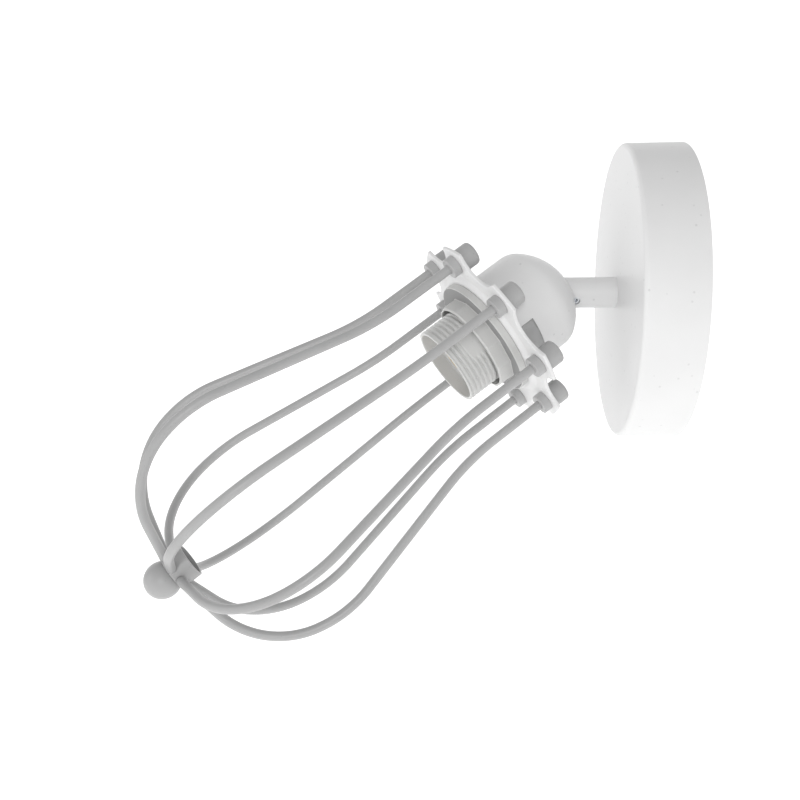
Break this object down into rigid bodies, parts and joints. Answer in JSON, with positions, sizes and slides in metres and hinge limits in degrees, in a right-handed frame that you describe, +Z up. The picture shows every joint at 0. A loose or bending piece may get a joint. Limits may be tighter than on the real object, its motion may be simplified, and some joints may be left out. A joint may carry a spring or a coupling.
{
  "type": "cage wall light",
  "caption": "Wall light with a round rose, a short arm, a tilting and swivelling cup, a threaded lampholder and a long cage of bent wires gathered at a ball.",
  "frame": {"origin": "middle of the rose's back on the wall, halfway between the two wall screw slots", "axes": "+Y into the wall, +Z up, +X along the row of wall screw slots; the lamp reaches out along -Y"},
  "size_m": [0.1677, 0.252, 0.2301],
  "materials": {
    "white_paint": "satin white powder coat",
    "grey_paint": "satin light grey-white coat",
    "white_plastic": "moulded, half gloss",
    "white_ceramic": "glazed ceramic",
    "zinc_steel": "zinc plated",
    "brass": "plain brass"
  },
  "bodies": {
    "base": {"rose_cover": "white_paint", "wall_bracket": "zinc_steel", "cover_screws": "zinc_steel", "earth_screw": "brass", "terminal_block": "white_plastic", "terminal_screws": "brass", "arm_tube": "white_paint", "arm_nipple": "brass", "arm_washer": "zinc_steel", "arm_locknut": "brass", "arm_set_screw": "zinc_steel"},
    "stem": {"knuckle_stem": "zinc_steel"},
    "head": {"knuckle_cap": "zinc_steel", "pivot_screw": "zinc_steel", "pivot_washer": "zinc_steel", "pivot_nut": "zinc_steel", "head_cup": "white_paint", "cup_strap": "zinc_steel", "holder_nipple": "brass", "lampholder_cap": "white_plastic", "lampholder_body": "white_plastic", "contact_block": "white_ceramic", "screw_shell": "brass", "centre_contact": "brass", "side_contact": "brass", "contact_screws": "brass", "shade_ring": "white_plastic", "cage_ring": "white_paint", "front_nuts": "grey_paint", "cap_nuts": "grey_paint", "cage_collar": "grey_paint", "ball_finial": "grey_paint", "wire_1": "grey_paint", "wire_2": "grey_paint", "wire_3": "grey_paint", "wire_4": "grey_paint", "wire_5": "grey_paint", "wire_6": "grey_paint", "wire_7": "grey_paint", "wire_8": "grey_paint"}
  },
  "joints": [
    {"name": "arm_swivel", "type": "hinge", "parent": "base", "child": "stem", "pos_m": [0, -0.0622, 0], "axis": [0, -1, 0], "range_deg": [-169, 131]},
    {"name": "head_tilt", "type": "hinge", "parent": "stem", "child": "head", "pos_m": [0, -0.0622, 0], "axis": [0.9455, 0, 0.3256], "range_deg": [-39, 11]}
  ]
}
